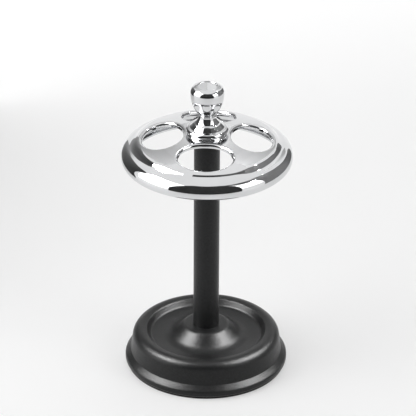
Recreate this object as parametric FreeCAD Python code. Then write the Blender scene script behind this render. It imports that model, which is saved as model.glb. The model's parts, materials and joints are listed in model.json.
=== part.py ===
"""Countertop toothbrush stand in millimetres.

A weighted tray base carries a post. A domed plate with four oval brush holes rests on the post and is held
down by a finial that screws into it. +Z is up, and the origin is the centre of the foot pad's underside.
"""
import FreeCAD
import Part
import math
import os

# Foot pad
pad_thickness = 1.0
pad_inset = 1.1

# Base shell, spun from sheet
base_radius = 44.4
base_height = 21.6
base_sheet = 1.2
foot_bead_radius = 3.0
foot_lip_width = 3.2
foot_ledge = 0.8
wall_lean = 0.9
ring_height = 17.3
ring_shoulder_radius = 2.4
ring_width = 5.6
ring_crest_radius = 1.6
tray_depth = 2.9
tray_slope_width = 5.2
tray_fall = 0.4
tray_cove_radius = 6.0
hub_radius = 12.2
hub_edge_radius = 1.8
hub_flank_width = 7.8
hub_cove_radius = 5.0

# Post tube and the plugs in its ends
post_radius = 7.0
post_wall = 1.0
post_length = 116.15
plug_length = 14.0
plug_flange = 1.5
spigot_radius = 4.0
spigot_clearance = 0.1

# Screw threads, as plain cylinders
thread_radius = 3.0
thread_clearance = 0.05
thread_engagement = 10.0
bond_gap = 0.02
end_chamfer = 0.5

# Top plate, pressed from sheet
plate_radius = 46.0
plate_sheet = 1.0
boss_radius = 10.6
boss_height = 1.75
boss_edge_radius = 1.4
boss_cove_radius = 0.3
dome_fall = 4.4
dome_flat = 0.1
dome_run = 1.2
dome_shoulder_radius = 5.0
step_width = 2.7
step_height = 2.5
step_cove_radius = 6.5
rim_width = 5.9
rim_fall = 1.73
rim_radius = 6.2
rim_height = 8.67
curl_radius = 3.5
curl_lip = 0.6

# Brush holes
hole_count = 4
hole_inner_land = 2.05
hole_outer_land = 2.6
hole_cross_size = 29.2
hole_flange_depth = 2.4
hole_roll_radius = 1.4

# Finial and the washer under it
washer_thickness = 0.5
washer_radius = 9.0
washer_clearance = 0.2
finial_height = 25.07
finial_flange_radius = 11.4
finial_flange_thickness = 2.05
finial_flange_edge = 0.2
finial_flange_round = 1.8
finial_ledge_width = 2.1
finial_ledge_cove = 0.3
finial_cone_height = 2.25
finial_crease_radius = 7.2
finial_crease_edge = 0.3
finial_flare_height = 1.5
finial_flare_cove = 5.2
finial_waist_radius = 4.6
finial_waist_length = 3.95
finial_neck_cove = 2.6
finial_cup_height = 5.65
finial_cup_radius = 17.0
finial_head_radius = 9.0
finial_rim_radius = 3.4
finial_rim_width = 3.55
finial_crown_rise = 1.07
finial_dish_depth = 0.6
finial_dish_lean = 0.3
finial_dish_edge = 0.4
stud_depth = 7.9

# Weight and the bolt under it
weight_thickness = 8.0
weight_gap = 0.3
weight_side_gap = 2.0
weight_edge_radius = 1.0
bolt_clearance = 0.3
bolt_engagement = 10.0
bolt_head_across = 10.0
bolt_head_height = 4.0
bolt_chamfer_width = 0.2
bolt_chamfer_height = 0.8
flat_washer_radius = 9.0
flat_washer_thickness = 1.6
spring_washer_radius = 5.9
spring_washer_thickness = 1.6
spring_washer_gap = 14.0
recess_gap = 1.5
recess_depth = 5.0

# Construction
cut_margin = 1.0
UP = FreeCAD.Vector(0, 0, 1)
CENTRE = FreeCAD.Vector(0, 0, 0)


def at(radius, height):
    return FreeCAD.Vector(radius, 0, height)


def unit(start, end):
    return (end - start).normalize()


def rounded_edges(corners):
    """Lines and tangent arcs along (radius, height, corner radius) points."""
    points = [at(r, z) for r, z, _ in corners]
    reach = [0.0] * len(corners)
    half_turns = [0.0] * len(corners)
    for i in range(1, len(corners) - 1):
        before = unit(points[i - 1], points[i])
        after = unit(points[i], points[i + 1])
        half_turns[i] = before.getAngle(after) / 2
        reach[i] = corners[i][2] * math.tan(half_turns[i])
    spans = [points[i].distanceToPoint(points[i + 1]) for i in range(len(points) - 1)]
    shares = [min(1.0, 0.999 * span / max(reach[i] + reach[i + 1], 1e-9)) for i, span in enumerate(spans)]
    edges = []
    last = points[0]
    for i in range(1, len(points) - 1):
        fitted = reach[i] * min(shares[i - 1], shares[i])
        if fitted > 1e-6:
            before = unit(points[i - 1], points[i])
            after = unit(points[i], points[i + 1])
            start = points[i] - before * fitted
            end = points[i] + after * fitted
            inward = (after - before).normalize()
            radius = fitted / math.tan(half_turns[i])
            middle = points[i] + inward * (radius / math.cos(half_turns[i]) - radius)
            edges.append(Part.makeLine(last, start))
            edges.append(Part.Arc(start, middle, end).toShape())
            last = end
        else:
            edges.append(Part.makeLine(last, points[i]))
            last = points[i]
    edges.append(Part.makeLine(last, points[-1]))
    return edges


def offset_corners(corners, distance):
    """The same path moved sideways by distance, to the right of its direction seen with Z up."""
    points = [at(r, z) for r, z, _ in corners]
    ways = [unit(points[i], points[i + 1]) for i in range(len(points) - 1)]
    normals = [FreeCAD.Vector(way.z, 0, -way.x) for way in ways]
    moved = [points[0] + normals[0] * distance]
    radii = [0.0]
    for i in range(1, len(points) - 1):
        mean = normals[i - 1] + normals[i]
        moved.append(points[i] + mean * (2 * distance / mean.dot(mean)))
        turn = ways[i - 1].z * ways[i].x - ways[i - 1].x * ways[i].z
        radii.append(max(corners[i][2] - math.copysign(distance, turn), 0.0))
    moved.append(points[-1] + normals[-1] * distance)
    radii.append(0.0)
    return [(point.x, point.z, radius) for point, radius in zip(moved, radii)]


def revolve(edges, sweep=360):
    face = Part.Face(Part.Wire(Part.__sortEdges__(edges)))
    return face.revolve(CENTRE, UP, sweep)


def turned(corners, sweep=360):
    """A solid of revolution from a closed section of (radius, height, corner radius) points."""
    edges = rounded_edges(corners)
    edges.append(Part.makeLine(at(*corners[-1][:2]), at(*corners[0][:2])))
    return revolve(edges, sweep)


def pressed(corners, sheet):
    """A solid of revolution of even sheet thickness to the right of its outer path."""
    inner = offset_corners(corners, sheet)
    edges = rounded_edges(corners) + rounded_edges(inner)
    edges.append(Part.makeLine(at(*corners[0][:2]), at(*inner[0][:2])))
    edges.append(Part.makeLine(at(*corners[-1][:2]), at(*inner[-1][:2])))
    return revolve(edges)


def ring(outer, inner, bottom, height):
    seat = at(0, bottom)
    return Part.makeCylinder(outer, height, seat).cut(Part.makeCylinder(inner, height, seat))


def oval(radial, cross, bottom, height):
    """An upright elliptical prism at the first hole's place."""
    middle = at(hole_circle_radius, bottom)
    side = middle + FreeCAD.Vector(0, cross / 2, 0)
    end = middle + FreeCAD.Vector(radial / 2, 0, 0)
    minor, major = sorted([end, side], key=middle.distanceToPoint)
    curve = Part.Ellipse(major, minor, middle)
    return Part.Face(Part.Wire(curve.toShape())).extrude(UP * height)


def turned_about(shape, angle):
    copy = shape.copy()
    copy.rotate(CENTRE, UP, angle)
    return copy


# Heights of the faces that the pieces stand on
base_foot = pad_thickness
hub_top = base_foot + base_height
tube_top = hub_top + post_length
plate_seat = tube_top + plug_flange
boss_top = plate_seat + plate_sheet
finial_seat = boss_top + washer_thickness
finial_shoulder = finial_seat + finial_height
finial_top = finial_shoulder + finial_crown_rise

nodes = {}

# Foot pad
nodes["foot_pad"] = Part.makeCylinder(base_radius - pad_inset, pad_thickness)

# Base shell, from the foot lip out round the bead, up over the ring and in to the hub
ring_top = base_foot + ring_height
bead_top = base_foot + 2 * foot_bead_radius
wall_foot = base_radius - foot_bead_radius - foot_ledge
wall_top = wall_foot - wall_lean
ring_inner = wall_top - ring_width
tray_edge = ring_inner - tray_slope_width
tray_edge_height = ring_top - tray_depth + tray_fall
tray_low = ring_top - tray_depth
hub_foot = hub_radius + hub_flank_width
spigot_hole = spigot_radius + spigot_clearance
base_path = [
    (base_radius - foot_bead_radius - foot_lip_width, base_foot, 0),
    (base_radius, base_foot, foot_bead_radius),
    (base_radius, bead_top, foot_bead_radius),
    (wall_foot, bead_top, foot_ledge),
    (wall_top, ring_top, ring_shoulder_radius),
    (ring_inner, ring_top, ring_crest_radius),
    (tray_edge, tray_edge_height, tray_cove_radius),
    (hub_foot, tray_low, hub_cove_radius),
    (hub_radius, hub_top, hub_edge_radius),
    (spigot_hole, hub_top, 0),
]
nodes["base_shell"] = pressed(base_path, -base_sheet)

# Weight, shaped to the underside of the tray and seated on the hub
hub_under = hub_top - base_sheet
weight_radius = wall_top - base_sheet - weight_side_gap
under_path = offset_corners(base_path[6:], -(base_sheet + weight_gap))
weight_top = tray_low - base_sheet - weight_gap
weight_bottom = weight_top - weight_thickness
bolt_hole = thread_radius + bolt_clearance
weight_shape = turned(
    [
        (bolt_hole, weight_bottom, 0),
        (weight_radius, weight_bottom, weight_edge_radius),
        (weight_radius, weight_top, weight_edge_radius),
        (under_path[1][0], weight_top, under_path[1][2]),
        under_path[2],
        (bolt_hole, hub_under - weight_gap, 0),
    ]
)
seat_radius = hub_radius - hub_edge_radius - base_sheet
seat_height = 2 * weight_gap
weight_seat = ring(seat_radius, bolt_hole, hub_under - seat_height, seat_height)
recess = Part.makeCylinder(flat_washer_radius + recess_gap, recess_depth, at(0, weight_bottom))
nodes["base_weight"] = weight_shape.fuse(weight_seat).removeSplitter().cut(recess)

# Washers and bolt under the weight
flat_bottom = weight_bottom + recess_depth - flat_washer_thickness
spring_bottom = flat_bottom - spring_washer_thickness
nodes["base_flat_washer"] = ring(flat_washer_radius, bolt_hole, flat_bottom, flat_washer_thickness)
spring_bore = thread_radius + bond_gap
nodes["base_spring_washer"] = turned(
    [
        (spring_bore, spring_bottom, 0),
        (spring_washer_radius, spring_bottom, 0),
        (spring_washer_radius, flat_bottom, 0),
        (spring_bore, flat_bottom, 0),
    ],
    360 - spring_washer_gap,
)
bolt_tip = hub_top + bolt_engagement
head_bottom = spring_bottom - bolt_head_height
head_corner = bolt_head_across / math.sqrt(3)
head_turns = [math.radians(60 * i) for i in range(7)]
head_points = [
    FreeCAD.Vector(head_corner * math.cos(turn), head_corner * math.sin(turn), head_bottom)
    for turn in head_turns
]
head_prism = Part.Face(Part.makePolygon(head_points)).extrude(UP * bolt_head_height)
head_form = turned(
    [
        (0, head_bottom, 0),
        (bolt_head_across / 2 - bolt_chamfer_width, head_bottom, 0),
        (head_corner + bolt_chamfer_width, head_bottom + bolt_chamfer_height, 0),
        (head_corner + bolt_chamfer_width, spring_bottom, 0),
        (0, spring_bottom, 0),
    ]
)
shank = turned(
    [
        (0, spring_bottom, 0),
        (thread_radius, spring_bottom, 0),
        (thread_radius, bolt_tip - end_chamfer, 0),
        (thread_radius - end_chamfer, bolt_tip, 0),
        (0, bolt_tip, 0),
    ]
)
nodes["base_bolt"] = head_prism.common(head_form).fuse(shank).removeSplitter()

# Post tube and its plugs
post_bore = post_radius - post_wall
plug_radius = post_bore - bond_gap
tapped_radius = thread_radius + thread_clearance
nodes["post_tube"] = ring(post_radius, post_bore, hub_top, post_length)
nodes["post_bottom_insert"] = turned(
    [
        (tapped_radius, hub_under, 0),
        (spigot_radius, hub_under, 0),
        (spigot_radius, hub_top, 0),
        (plug_radius, hub_top, 0),
        (plug_radius, hub_top + plug_length, 0),
        (tapped_radius, hub_top + plug_length, 0),
    ]
)
spigot_top = boss_top - 2 * spigot_clearance
nodes["post_top_insert"] = turned(
    [
        (tapped_radius, tube_top - plug_length, 0),
        (plug_radius, tube_top - plug_length, 0),
        (plug_radius, tube_top, 0),
        (post_radius, tube_top, 0),
        (post_radius, plate_seat, 0),
        (spigot_radius, plate_seat, 0),
        (spigot_radius, spigot_top, 0),
        (tapped_radius, spigot_top, 0),
    ]
)

# Top plate, from the hub out over the dome and the step, round the rim and in under its curled edge
dome_top = boss_top - boss_height
dome_edge = dome_top - dome_fall
step_foot = plate_radius - rim_width
step_radius = step_foot - step_width
dome_start = boss_radius + boss_cove_radius + dome_flat
dome_end = step_radius - dome_run
dome_knee = (dome_start + dome_end) / 2
dome_radius = (dome_knee - dome_start) / math.tan(math.atan2(dome_fall, step_radius - dome_knee) / 2)
rim_top = dome_edge - step_height
rim_shoulder = rim_top - rim_fall
rim_bottom = rim_shoulder - rim_height
plate_path = [
    (spigot_hole, boss_top, 0),
    (boss_radius, boss_top, boss_edge_radius),
    (boss_radius, dome_top, boss_cove_radius),
    (dome_knee, dome_top, dome_radius),
    (step_radius, dome_edge, dome_shoulder_radius),
    (step_foot, rim_top, step_cove_radius),
    (plate_radius, rim_shoulder, rim_radius),
    (plate_radius, rim_bottom, curl_radius),
    (plate_radius - curl_radius - curl_lip, rim_bottom, 0),
]
seam_angle = 180 / hole_count
sheet_form = turned_about(pressed(plate_path, plate_sheet), seam_angle)
dome_section = [(0, boss_top, 0)] + plate_path[1:7] + [(plate_radius, 0, 0), (0, 0, 0)]
under_dome = turned_about(turned(dome_section), seam_angle)
flange_limit = under_dome.translated(UP * -hole_flange_depth)

# Brush holes, between the boss and the step, each with a collar under the dome and a rolled mouth
hole_inner = boss_radius + hole_inner_land
hole_outer = step_radius - hole_outer_land
hole_circle_radius = (hole_inner + hole_outer) / 2
hole_radial_size = hole_outer - hole_inner
prism_bottom = rim_bottom - cut_margin
prism_height = boss_top - prism_bottom + cut_margin
hole = oval(hole_radial_size, hole_cross_size, prism_bottom, prism_height)
collar_wall = 2 * plate_sheet
collar_radial = hole_radial_size + collar_wall
collar_cross = hole_cross_size + collar_wall
collar_prism = oval(collar_radial, collar_cross, prism_bottom, prism_height)
collar = collar_prism.common(under_dome).cut(flange_limit)
plate = sheet_form
for i in range(hole_count):
    plate = plate.fuse(turned_about(collar, 360 * i / hole_count))
for i in range(hole_count):
    plate = plate.cut(turned_about(hole, 360 * i / hole_count))
plate = plate.removeSplitter()


def middle_of(edge):
    return edge.valueAt((edge.FirstParameter + edge.LastParameter) / 2)


def is_on_oval(edge):
    """True for an edge that runs round the wall of a brush hole."""
    middle = middle_of(edge)
    for i in range(hole_count):
        angle = math.radians(-360 * i / hole_count)
        x = middle.x * math.cos(angle) - middle.y * math.sin(angle) - hole_circle_radius
        y = middle.x * math.sin(angle) + middle.y * math.cos(angle)
        if abs(math.hypot(2 * x / hole_radial_size, 2 * y / hole_cross_size) - 1) < 1e-3:
            return edge.Length > hole_radial_size
    return False


rims = [edge for edge in plate.Edges if is_on_oval(edge)]
mouth_height = max(middle_of(edge).z for edge in rims) - hole_flange_depth / 2
mouths = [edge for edge in rims if middle_of(edge).z > mouth_height]
nodes["top_plate"] = plate.makeFillet(hole_roll_radius, mouths)

# Finial, its washer and its stud
nodes["finial_washer"] = ring(washer_radius, thread_radius + washer_clearance, boss_top, washer_thickness)
flange_top = finial_seat + finial_flange_thickness
ledge_inner = finial_flange_radius - finial_ledge_width
crease = flange_top + finial_cone_height
waist_bottom = crease + finial_flare_height
waist_top = waist_bottom + finial_waist_length
cup_corner = waist_top + finial_cup_height
dish_outer = finial_head_radius - finial_rim_width
dish_inner = dish_outer - finial_dish_lean
stud_top = finial_seat + stud_depth
stud_hole = thread_radius + bond_gap
nodes["finial"] = turned(
    [
        (0, stud_top, 0),
        (stud_hole, stud_top, 0),
        (stud_hole, finial_seat, 0),
        (finial_flange_radius, finial_seat, finial_flange_edge),
        (finial_flange_radius, flange_top, finial_flange_round),
        (ledge_inner, flange_top, finial_ledge_cove),
        (finial_crease_radius, crease, finial_crease_edge),
        (finial_waist_radius, waist_bottom, finial_flare_cove),
        (finial_waist_radius, waist_top, finial_neck_cove),
        (finial_head_radius, cup_corner, finial_cup_radius),
        (finial_head_radius, finial_shoulder, finial_rim_radius),
        (dish_outer, finial_top, finial_dish_edge),
        (dish_inner, finial_top - finial_dish_depth, finial_dish_edge),
        (0, finial_top - finial_dish_depth, 0),
    ]
)
stud_bottom = spigot_top - thread_engagement
nodes["finial_stud"] = turned(
    [
        (0, stud_bottom, 0),
        (thread_radius - end_chamfer, stud_bottom, 0),
        (thread_radius, stud_bottom + end_chamfer, 0),
        (thread_radius, stud_top - end_chamfer, 0),
        (thread_radius - end_chamfer, stud_top, 0),
        (0, stud_top, 0),
    ]
)

os.makedirs("parts", exist_ok=True)
for name, shape in nodes.items():
    shape.Solids[0].exportStep("parts/" + name + ".step")
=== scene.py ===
"""Looks of a countertop toothbrush stand: chrome plate and finial on a dark powder-coated post and base."""
import bpy
import json
import math
from mathutils import Matrix, Vector


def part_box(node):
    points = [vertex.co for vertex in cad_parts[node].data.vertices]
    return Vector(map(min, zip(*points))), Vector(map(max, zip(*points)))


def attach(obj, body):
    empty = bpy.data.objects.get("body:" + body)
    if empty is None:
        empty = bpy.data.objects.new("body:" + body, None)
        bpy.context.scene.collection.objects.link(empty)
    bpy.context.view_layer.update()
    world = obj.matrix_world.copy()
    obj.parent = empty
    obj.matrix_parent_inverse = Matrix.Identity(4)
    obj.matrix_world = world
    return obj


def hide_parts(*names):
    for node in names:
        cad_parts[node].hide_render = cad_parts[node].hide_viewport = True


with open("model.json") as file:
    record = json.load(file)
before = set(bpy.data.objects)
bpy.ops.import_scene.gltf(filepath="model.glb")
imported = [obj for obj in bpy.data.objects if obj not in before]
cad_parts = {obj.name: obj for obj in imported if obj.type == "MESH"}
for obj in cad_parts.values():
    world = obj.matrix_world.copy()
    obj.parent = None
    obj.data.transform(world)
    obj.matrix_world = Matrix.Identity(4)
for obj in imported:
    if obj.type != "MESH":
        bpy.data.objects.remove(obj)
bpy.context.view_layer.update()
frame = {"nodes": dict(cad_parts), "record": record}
nodes = frame["nodes"]

# Camera, fitted to the photograph, with angles in degrees
VIEW_TURN = 2.0
VIEW_ELEVATION = 28.9
VIEW_ROLL = 0.32
VIEW_DISTANCE = 1.789
VIEW_TARGET = Vector((0, 0, 0.0794))
FRAME_PIXELS = 416
FOCAL_PIXELS = 3300
TARGET_PIXEL = (206.55, 232.0)
SENSOR = 36.0


def direction(azimuth, elevation):
    """Unit vector, with azimuth in degrees to the right of the front and elevation above the floor."""
    a = math.radians(azimuth)
    e = math.radians(elevation)
    return Vector((math.sin(a) * math.cos(e), -math.cos(a) * math.cos(e), math.sin(e)))


def facing(back):
    """Rotation whose local Z points along back, with local Y as near to upright as can be."""
    side = Vector((0, 0, 1)).cross(back).normalized()
    return Matrix((side, back.cross(side), back)).transposed()


def add_camera():
    """The photograph's long-lens view."""
    data = bpy.data.cameras.new("photo_camera")
    camera = bpy.data.objects.new("photo_camera", data)
    back = direction(VIEW_TURN, VIEW_ELEVATION)
    turn = facing(back) @ Matrix.Rotation(math.radians(VIEW_ROLL), 3, "Z")
    camera.matrix_world = Matrix.Translation(VIEW_TARGET + back * VIEW_DISTANCE) @ turn.to_4x4()
    data.sensor_width = SENSOR
    data.lens = FOCAL_PIXELS / FRAME_PIXELS * SENSOR
    data.shift_x = (FRAME_PIXELS / 2 - TARGET_PIXEL[0]) / FRAME_PIXELS
    data.shift_y = (TARGET_PIXEL[1] - FRAME_PIXELS / 2) / FRAME_PIXELS
    bpy.context.scene.collection.objects.link(camera)
    bpy.context.scene.camera = camera


# Parts of a noise texture's range that the shades and the roughness spread over
SHADE_SPAN = (0.35, 0.65)
ROUGHNESS_SPAN = (0.3, 0.7)


class Shader:
    """A node material with one Principled shader, varied by noise in the object's own space."""

    def __init__(self, name):
        self.material = bpy.data.materials.new(name)
        self.material.use_nodes = True
        self.tree = self.material.node_tree
        self.principled = self.tree.nodes["Principled BSDF"]
        self.place = self.tree.nodes.new("ShaderNodeTexCoord").outputs["Object"]

    def set(self, name, value):
        self.principled.inputs[name].default_value = value

    def noise(self, scale, detail, roughness=0.5):
        node = self.tree.nodes.new("ShaderNodeTexNoise")
        node.inputs["Scale"].default_value = scale
        node.inputs["Detail"].default_value = detail
        node.inputs["Roughness"].default_value = roughness
        self.tree.links.new(self.place, node.inputs["Vector"])
        return node.outputs["Fac"]

    def shades(self, value, dark, light):
        """Base colour from dark to light."""
        ramp = self.tree.nodes.new("ShaderNodeValToRGB")
        for element, position, colour in zip(ramp.color_ramp.elements, SHADE_SPAN, (dark, light)):
            element.position = position
            element.color = (*colour, 1)
        self.tree.links.new(value, ramp.inputs["Fac"])
        self.tree.links.new(ramp.outputs["Color"], self.principled.inputs["Base Color"])

    def roughness(self, value, low, high):
        node = self.tree.nodes.new("ShaderNodeMapRange")
        node.inputs["From Min"].default_value = ROUGHNESS_SPAN[0]
        node.inputs["From Max"].default_value = ROUGHNESS_SPAN[1]
        node.inputs["To Min"].default_value = low
        node.inputs["To Max"].default_value = high
        self.tree.links.new(value, node.inputs["Value"])
        self.tree.links.new(node.outputs["Result"], self.principled.inputs["Roughness"])

    def bump(self, value, depth, strength=1.0):
        node = self.tree.nodes.new("ShaderNodeBump")
        node.inputs["Strength"].default_value = strength
        node.inputs["Distance"].default_value = depth
        self.tree.links.new(value, node.inputs["Height"])
        self.tree.links.new(node.outputs["Normal"], self.principled.inputs["Normal"])


def chrome():
    shader = Shader("polished_chrome")
    shader.set("Metallic", 1.0)
    shader.shades(shader.noise(scale=60, detail=4), dark=(0.68, 0.685, 0.695), light=(0.72, 0.725, 0.735))
    shader.roughness(shader.noise(scale=400, detail=6, roughness=0.7), low=0.01, high=0.02)
    shader.bump(shader.noise(scale=90, detail=2), depth=0.00002)
    return shader.material


def dark_coat():
    shader = Shader("charcoal_powder_coat")
    shader.set("Specular IOR Level", 0.24)
    grain = shader.noise(scale=900, detail=5, roughness=0.7)
    shader.shades(grain, dark=(0.009, 0.0093, 0.0096), light=(0.016, 0.0165, 0.017))
    shader.roughness(shader.noise(scale=1500, detail=4), low=0.28, high=0.35)
    shader.bump(shader.noise(scale=1600, detail=3, roughness=0.6), depth=0.00015, strength=0.9)
    return shader.material


def zinc_steel():
    shader = Shader("bright_zinc")
    shader.set("Metallic", 1.0)
    shader.shades(shader.noise(scale=300, detail=4), dark=(0.5, 0.5, 0.49), light=(0.6, 0.6, 0.58))
    shader.roughness(shader.noise(scale=800, detail=5), low=0.22, high=0.4)
    shader.bump(shader.noise(scale=1500, detail=4), depth=0.00002, strength=0.4)
    return shader.material


def cast_iron():
    shader = Shader("cast_iron")
    shader.set("Metallic", 0.6)
    shader.shades(shader.noise(scale=500, detail=6), dark=(0.08, 0.08, 0.08), light=(0.16, 0.155, 0.15))
    shader.roughness(shader.noise(scale=700, detail=4), low=0.6, high=0.8)
    shader.bump(shader.noise(scale=1200, detail=6, roughness=0.7), depth=0.0002, strength=0.7)
    return shader.material


def nylon():
    shader = Shader("natural_nylon")
    shader.shades(shader.noise(scale=200, detail=3), dark=(0.76, 0.75, 0.7), light=(0.83, 0.82, 0.78))
    shader.roughness(shader.noise(scale=900, detail=4), low=0.42, high=0.55)
    shader.bump(shader.noise(scale=2500, detail=3), depth=0.00002, strength=0.4)
    return shader.material


def foam():
    shader = Shader("black_foam")
    shader.shades(shader.noise(scale=2500, detail=4), dark=(0.012, 0.012, 0.012), light=(0.028, 0.028, 0.028))
    shader.roughness(shader.noise(scale=1500, detail=4), low=0.85, high=0.98)
    shader.bump(shader.noise(scale=3500, detail=3, roughness=0.6), depth=0.0002, strength=0.8)
    return shader.material


FINISHES = {
    "chrome": chrome(),
    "dark_coat": dark_coat(),
    "zinc_steel": zinc_steel(),
    "iron": cast_iron(),
    "nylon": nylon(),
    "foam": foam(),
}
SHARP_ANGLE = math.radians(30)


def finish_nodes():
    """Give each node the finish of its material slot."""
    for subpart in frame["record"]["subparts"]:
        for material_slot in nodes[subpart["node"]].material_slots:
            material_slot.material = FINISHES[subpart["material_slot"]]


def add_piece(name, points, faces, node, body):
    """A finer piece in place of a node, with that node's finish."""
    subpart = next(row for row in frame["record"]["subparts"] if row["node"] == node)
    slot = subpart["material_slot"]
    mesh = bpy.data.meshes.new(name)
    mesh.from_pydata(points, [], faces)
    mesh.materials.append(FINISHES[slot])
    mesh.shade_smooth()
    mesh.set_sharp_from_angle(angle=SHARP_ANGLE)
    piece = bpy.data.objects.new(name, mesh)
    bpy.context.scene.collection.objects.link(piece)
    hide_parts(node)
    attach(piece, body)


# Spun base: heights are from its foot, insets and widths run inwards from its outer edge
BASE_SHEET = 0.0012
BASE_SIDES = 240
ARC_STEPS = 12
FOOT_LIP = 0.0062
FOOT_EDGE_RADIUS = 0.0016
BEAD_HEIGHT = 0.0034
BEAD_RADIUS = 0.0018
WALL_INSET = 0.003
WALL_FOOT_HEIGHT = 0.0063
WALL_FOOT_RADIUS = 0.0005
WALL_LEAN = 0.0017
RING_HEIGHT = 0.0194
RING_RADIUS = 0.005
RING_WIDTH = 0.007
RING_FALL = 0.0012
RING_EDGE_RADIUS = 0.0013
TRAY_WALL_WIDTH = 0.0024
TRAY_WALL_HEIGHT = 0.0031
TRAY_COVE_RADIUS = 0.0022
TRAY_FALL = 0.0007
HUB_RADIUS = 0.0122
HUB_EDGE_RADIUS = 0.0034
HUB_FLANK_WIDTH = 0.0078
HUB_COVE_RADIUS = 0.009
HUB_HOLE_RADIUS = 0.0041


def rounded_path(corners):
    """Points and outward normals along (radius, height, corner radius) corners, outside on the right."""
    places = [Vector(corner[:2]) for corner in corners]
    ways = [(end - start).normalized() for start, end in zip(places, places[1:])]
    path = [(places[0], Vector((ways[0].y, -ways[0].x)))]
    for place, before, after, corner in zip(places[1:], ways, ways[1:], corners[1:]):
        turn = math.atan2(before.cross(after), before.dot(after))
        radius = math.copysign(corner[2], turn)
        start = place - before * abs(corner[2] * math.tan(turn / 2))
        centre = start - Vector((before.y, -before.x)) * radius
        for k in range(ARC_STEPS + 1):
            way = Matrix.Rotation(turn * k / ARC_STEPS, 2) @ before
            outward = Vector((way.y, -way.x))
            path.append((centre + outward * radius, outward))
    path.append((places[-1], Vector((ways[-1].y, -ways[-1].x))))
    return path


def add_base():
    """The base as one spun sheet, from the foot lip up over the ring and the tray to the hub."""
    low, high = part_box("base_shell")
    edge, foot, hub_top = high.x, low.z, high.z
    wall_top = edge - WALL_INSET - WALL_LEAN
    ring_inner = wall_top - RING_WIDTH
    ring_edge_height = RING_HEIGHT - RING_FALL
    tray_edge = ring_inner - TRAY_WALL_WIDTH
    tray_edge_height = ring_edge_height - TRAY_WALL_HEIGHT
    outside = rounded_path([
        (edge - FOOT_LIP, foot, 0),
        (edge, foot, FOOT_EDGE_RADIUS),
        (edge, foot + BEAD_HEIGHT, BEAD_RADIUS),
        (edge - WALL_INSET, foot + WALL_FOOT_HEIGHT, WALL_FOOT_RADIUS),
        (wall_top, foot + RING_HEIGHT, RING_RADIUS),
        (ring_inner, foot + ring_edge_height, RING_EDGE_RADIUS),
        (tray_edge, foot + tray_edge_height, TRAY_COVE_RADIUS),
        (HUB_RADIUS + HUB_FLANK_WIDTH, foot + tray_edge_height - TRAY_FALL, HUB_COVE_RADIUS),
        (HUB_RADIUS, hub_top, HUB_EDGE_RADIUS),
        (HUB_HOLE_RADIUS, hub_top, 0),
    ])
    section = [place for place, outward in outside]
    section += [place - outward * BASE_SHEET for place, outward in reversed(outside)]
    points = []
    for place in section:
        for j in range(BASE_SIDES):
            angle = 2 * math.pi * j / BASE_SIDES
            points.append((place.x * math.cos(angle), place.x * math.sin(angle), place.y))
    faces = []
    for i in range(len(section)):
        row = i * BASE_SIDES
        next_row = (i + 1) % len(section) * BASE_SIDES
        for j in range(BASE_SIDES):
            k = (j + 1) % BASE_SIDES
            faces.append((row + j, row + k, next_row + k, next_row + j))
    add_piece("spun_base", points, faces, "base_shell", "stand")


# Thread of the stud, with flat crests and roots given as shares of the pitch
THREAD_PITCH = 0.001
THREAD_DEPTH = 0.00061
THREAD_CREST = 0.125
THREAD_ROOT = 0.25
THREAD_ROWS = 16
THREAD_SIDES = 48
STUD_CHAMFER = 0.0005


def thread_depth(height, turn):
    """Depth below the crest at a height along a right-hand thread and a share of a turn round it."""
    from_crest = abs((height / THREAD_PITCH - turn) % 1.0 - 0.5)
    flank = (1 - THREAD_CREST - THREAD_ROOT) / 2
    return THREAD_DEPTH * min(max((from_crest - THREAD_CREST / 2) / flank, 0), 1)


def add_stud():
    """The finial's stud with its thread, chamfered at both ends."""
    low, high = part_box("finial_stud")
    length = high.z - low.z
    rows = round(THREAD_ROWS * length / THREAD_PITCH)
    points = []
    for i in range(rows + 1):
        along = length * i / rows
        end_radius = high.x - STUD_CHAMFER + min(along, length - along)
        for j in range(THREAD_SIDES):
            turn = j / THREAD_SIDES
            radius = min(high.x - thread_depth(along, turn), end_radius)
            angle = 2 * math.pi * turn
            points.append((radius * math.cos(angle), radius * math.sin(angle), low.z + along))
    faces = [tuple(reversed(range(THREAD_SIDES))), tuple(range(rows * THREAD_SIDES, len(points)))]
    for i in range(rows):
        for j in range(THREAD_SIDES):
            a = i * THREAD_SIDES + j
            b = i * THREAD_SIDES + (j + 1) % THREAD_SIDES
            faces.append((a, b, b + THREAD_SIDES, a + THREAD_SIDES))
    add_piece("threaded_stud", points, faces, "finial_stud", "knob")


# Floor and background
AMBIENT = 1.15
MATTE = 0.9
FLOOR_RADIUS = 3.0
FLOOR_DROP = 0.0002
FLOOR_SIDES = 96
FLOOR_SHADE = 0.93
FLOOR_WHITE_SHARE = 0.4
FLOOR_FADE_START = 0.35
FLOOR_FADE_END = 1.2

# Screens for the chrome to reflect, set round a point in the plate. Each station of a screen starts with its
# azimuth and the elevations of the screen's bottom and top there, in degrees. Two shades of grey follow, for
# the bottom and the top, unless the whole screen shares them.
EYE = Vector((0, 0, 0.13))
SCREEN_ROWS = 12
FRONT_REACH = 0.56
FRONT_SHADES = (0.05, 0.05)
FRONT_STATIONS = [
    (-46, -13, 14),
    (-42, -13, 36),
    (-36, -13, 56),
    (-30, -13, 64),
    *((azimuth, -13, 66) for azimuth in range(-24, 33, 8)),
    (38, -13, 61),
    (43, -13, 50),
    (46, -13, 25),
]
LEFT_REACH = 0.34
LEFT_STATIONS = [
    (-152, -20, 20, 0.5, 0.6),
    (-144, -20, 28, 0.25, 0.4),
    (-136, -22, 34, 0.16, 0.25),
    (-126, -22, 38, 0.12, 0.2),
    (-112, -22, 44, 0.09, 0.15),
    (-98, -22, 40, 0.06, 0.09),
]
RIGHT_REACH = 0.55
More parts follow.
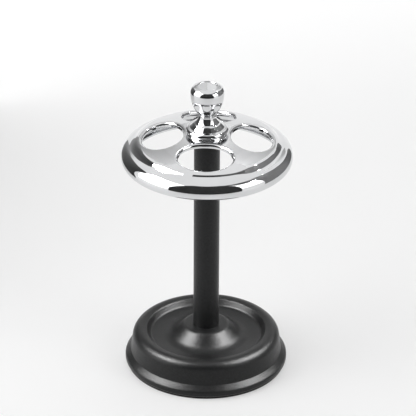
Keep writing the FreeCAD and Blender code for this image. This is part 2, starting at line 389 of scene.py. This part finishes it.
RIGHT_STATIONS = [
    (78, -13, 60, 0.26, 0.22),
    (86, -13, 59, 0.26, 0.22),
    (100, -13, 58, 0.26, 0.22),
    (112, -13, 57, 0.26, 0.22),
    (124, -13, 40, 0.26, 0.22),
    (134, -13, 26, 0.17, 0.17),
    (142, -13, 20, 0.14, 0.14),
    (150, -13, 14, 0.2, 0.2),
]
FLAG_REACH = 0.54
FLAG_SHADES = (0.12, 0.12)
FLAG_STATIONS = [
    (34, 58, 64.5),
    (44, 54, 63.5),
    (56, 48, 62.5),
    (68, 45, 61.5),
    (79, 43, 60),
]
# The veil is given for the right side, and the left one mirrors it
VEIL_REACH = 0.5
VEIL_STATIONS = [
    (178, 22, 54, 1.0, 1.0),
    (168, 20, 54, 0.6, 1.0),
    (160, 20, 54, 0.4, 1.0),
    (152, 22, 54, 0.5, 1.0),
    (146, 26, 52, 1.0, 1.0),
]

# Lamps, each placed at an azimuth and an elevation seen from the same point
PANEL_DISTANCE = 1.4
PANEL_RADIANCE = 1.6
LEFT_PANEL_PLACE = (-71, 24)
LEFT_PANEL_SIZE = (1.37, 2.1)
RIGHT_PANEL_PLACE = (62, 28)
RIGHT_PANEL_SIZE = (0.85, 0.86)
GLINT_DISTANCE = 1.3
LEFT_GLINT_RADIANCE = 52.0
LEFT_GLINT_PLACE = (-85, 47)
LEFT_GLINT_SIZE = (0.6, 0.5)
RIGHT_GLINT_RADIANCE = 104.0
RIGHT_GLINT_PLACE = (96, 46)
RIGHT_GLINT_SIZE = (0.72, 0.36)


def stage_mesh(name, points, faces, material):
    mesh = bpy.data.meshes.new(name)
    mesh.from_pydata(points, [], faces)
    mesh.materials.append(material)
    piece = bpy.data.objects.new(name, mesh)
    bpy.context.scene.collection.objects.link(piece)
    return piece


def matte_material(name):
    material = bpy.data.materials.new(name)
    material.use_nodes = True
    principled = material.node_tree.nodes["Principled BSDF"]
    principled.inputs["Roughness"].default_value = MATTE
    principled.inputs["Specular IOR Level"].default_value = 0.0
    return material


def seen_directly(tree):
    """A value of 1 for camera, glossy and transmission rays."""
    path = tree.nodes.new("ShaderNodeLightPath")
    total = path.outputs["Is Camera Ray"]
    for other in ("Is Glossy Ray", "Is Transmission Ray"):
        larger = tree.nodes.new("ShaderNodeMath")
        larger.operation = "MAXIMUM"
        tree.links.new(total, larger.inputs[0])
        tree.links.new(path.outputs[other], larger.inputs[1])
        total = larger.outputs["Value"]
    return total


def add_world():
    """A white background that lights the scene at the ambient level."""
    world = bpy.data.worlds.new("studio")
    bpy.context.scene.world = world
    world.use_nodes = True
    tree = world.node_tree
    background = tree.nodes["Background"]
    background.inputs["Color"].default_value = (1, 1, 1, 1)
    strength = tree.nodes.new("ShaderNodeMapRange")
    strength.inputs["To Min"].default_value = AMBIENT
    strength.inputs["To Max"].default_value = 1.0
    tree.links.new(seen_directly(tree), strength.inputs["Value"])
    tree.links.new(strength.outputs["Result"], background.inputs["Strength"])


def floor_material():
    """Pale and part white by itself, turning to the white of the background far from the object."""
    material = matte_material("pale_floor")
    tree = material.node_tree
    principled = tree.nodes["Principled BSDF"]
    principled.inputs["Base Color"].default_value = (FLOOR_SHADE, FLOOR_SHADE, FLOOR_SHADE, 1)
    place = tree.nodes.new("ShaderNodeTexCoord")
    reach = tree.nodes.new("ShaderNodeVectorMath")
    reach.operation = "LENGTH"
    tree.links.new(place.outputs["Object"], reach.inputs[0])
    far = tree.nodes.new("ShaderNodeMapRange")
    far.interpolation_type = "SMOOTHSTEP"
    far.inputs["From Min"].default_value = FLOOR_FADE_START
    far.inputs["From Max"].default_value = FLOOR_FADE_END
    far.inputs["To Min"].default_value = FLOOR_WHITE_SHARE
    tree.links.new(reach.outputs["Value"], far.inputs["Value"])
    shown = tree.nodes.new("ShaderNodeMath")
    shown.operation = "MULTIPLY"
    tree.links.new(far.outputs["Result"], shown.inputs[0])
    tree.links.new(seen_directly(tree), shown.inputs[1])
    white = tree.nodes.new("ShaderNodeEmission")
    mix = tree.nodes.new("ShaderNodeMixShader")
    tree.links.new(shown.outputs["Value"], mix.inputs["Fac"])
    tree.links.new(principled.outputs["BSDF"], mix.inputs[1])
    tree.links.new(white.outputs["Emission"], mix.inputs[2])
    tree.links.new(mix.outputs["Shader"], tree.nodes["Material Output"].inputs["Surface"])
    return material


def add_floor():
    """A pale disc just under the foot pad."""
    points = [(0, 0, -FLOOR_DROP)]
    for i in range(FLOOR_SIDES):
        angle = 2 * math.pi * i / FLOOR_SIDES
        points.append((FLOOR_RADIUS * math.cos(angle), FLOOR_RADIUS * math.sin(angle), -FLOOR_DROP))
    faces = [(0, 1 + i, 1 + (i + 1) % FLOOR_SIDES) for i in range(FLOOR_SIDES)]
    stage_mesh("floor", points, faces, floor_material())


def card_material():
    """Matte grey, in the shade stored at each point of a screen."""
    material = matte_material("grey_cards")
    tree = material.node_tree
    shade = tree.nodes.new("ShaderNodeAttribute")
    shade.attribute_name = "shade"
    tree.links.new(shade.outputs["Color"], tree.nodes["Principled BSDF"].inputs["Base Color"])
    return material


def add_screen(name, stations, reach, material):
    """A curved screen that stands round the object out of the camera's sight, for the chrome to reflect."""
    points = []
    shades = []
    for azimuth, low, high, low_shade, high_shade in stations:
        foot = direction(azimuth, 0) * reach
        bottom = max(EYE.z + reach * math.tan(math.radians(low)), 0)
        top = EYE.z + reach * math.tan(math.radians(high))
        for j in range(SCREEN_ROWS + 1):
            points.append(foot + Vector((0, 0, bottom + (top - bottom) * j / SCREEN_ROWS)))
            shades.append(low_shade + (high_shade - low_shade) * j / SCREEN_ROWS)
    step = SCREEN_ROWS + 1
    faces = [
        (i * step + j, (i + 1) * step + j, (i + 1) * step + j + 1, i * step + j + 1)
        for i in range(len(stations) - 1)
        for j in range(SCREEN_ROWS)
    ]
    screen = stage_mesh(name, points, faces, material)
    colours = screen.data.color_attributes.new("shade", "FLOAT_COLOR", "POINT")
    for entry, shade in zip(colours.data, shades):
        entry.color = (shade, shade, shade, 1)
    screen.visible_camera = False
    screen.visible_shadow = False


def add_lamp(name, place, size, radiance, glint=False):
    """A rectangular lamp that faces the plate, with its brightness as seen in a mirror.

    A glint lamp gives highlights only and leaves the level of the light as it is.
    """
    data = bpy.data.lights.new(name, "AREA")
    data.shape = "RECTANGLE"
    data.size, data.size_y = size
    data.energy = radiance * math.pi * size[0] * size[1]
    lamp = bpy.data.objects.new(name, data)
    turn = facing((place - EYE).normalized())
    lamp.matrix_world = Matrix.Translation(place) @ turn.to_4x4()
    lamp.visible_camera = False
    lamp.visible_diffuse = not glint
    bpy.context.scene.collection.objects.link(lamp)


def add_studio():
    """Background, floor, screens and lamps."""
    add_world()
    add_floor()
    card = card_material()
    add_screen("front_screen", [(*station, *FRONT_SHADES) for station in FRONT_STATIONS], FRONT_REACH, card)
    add_screen("left_screen", LEFT_STATIONS, LEFT_REACH, card)
    add_screen("right_screen", RIGHT_STATIONS, RIGHT_REACH, card)
    add_screen("right_flag", [(*station, *FLAG_SHADES) for station in FLAG_STATIONS], FLAG_REACH, card)
    mirrored = [(-azimuth, *rest) for azimuth, *rest in VEIL_STATIONS]
    add_screen("left_back_veil", mirrored, VEIL_REACH, card)
    add_screen("right_back_veil", VEIL_STATIONS, VEIL_REACH, card)
    left_panel = EYE + direction(*LEFT_PANEL_PLACE) * PANEL_DISTANCE
    right_panel = EYE + direction(*RIGHT_PANEL_PLACE) * PANEL_DISTANCE
    left_glint = EYE + direction(*LEFT_GLINT_PLACE) * GLINT_DISTANCE
    right_glint = EYE + direction(*RIGHT_GLINT_PLACE) * GLINT_DISTANCE
    add_lamp("left_panel", left_panel, LEFT_PANEL_SIZE, PANEL_RADIANCE)
    add_lamp("right_panel", right_panel, RIGHT_PANEL_SIZE, PANEL_RADIANCE)
    add_lamp("left_glint", left_glint, LEFT_GLINT_SIZE, LEFT_GLINT_RADIANCE, glint=True)
    add_lamp("right_glint", right_glint, RIGHT_GLINT_SIZE, RIGHT_GLINT_RADIANCE, glint=True)


add_camera()
finish_nodes()
add_base()
add_stud()
add_studio()
bpy.context.scene.view_settings.view_transform = "Standard"
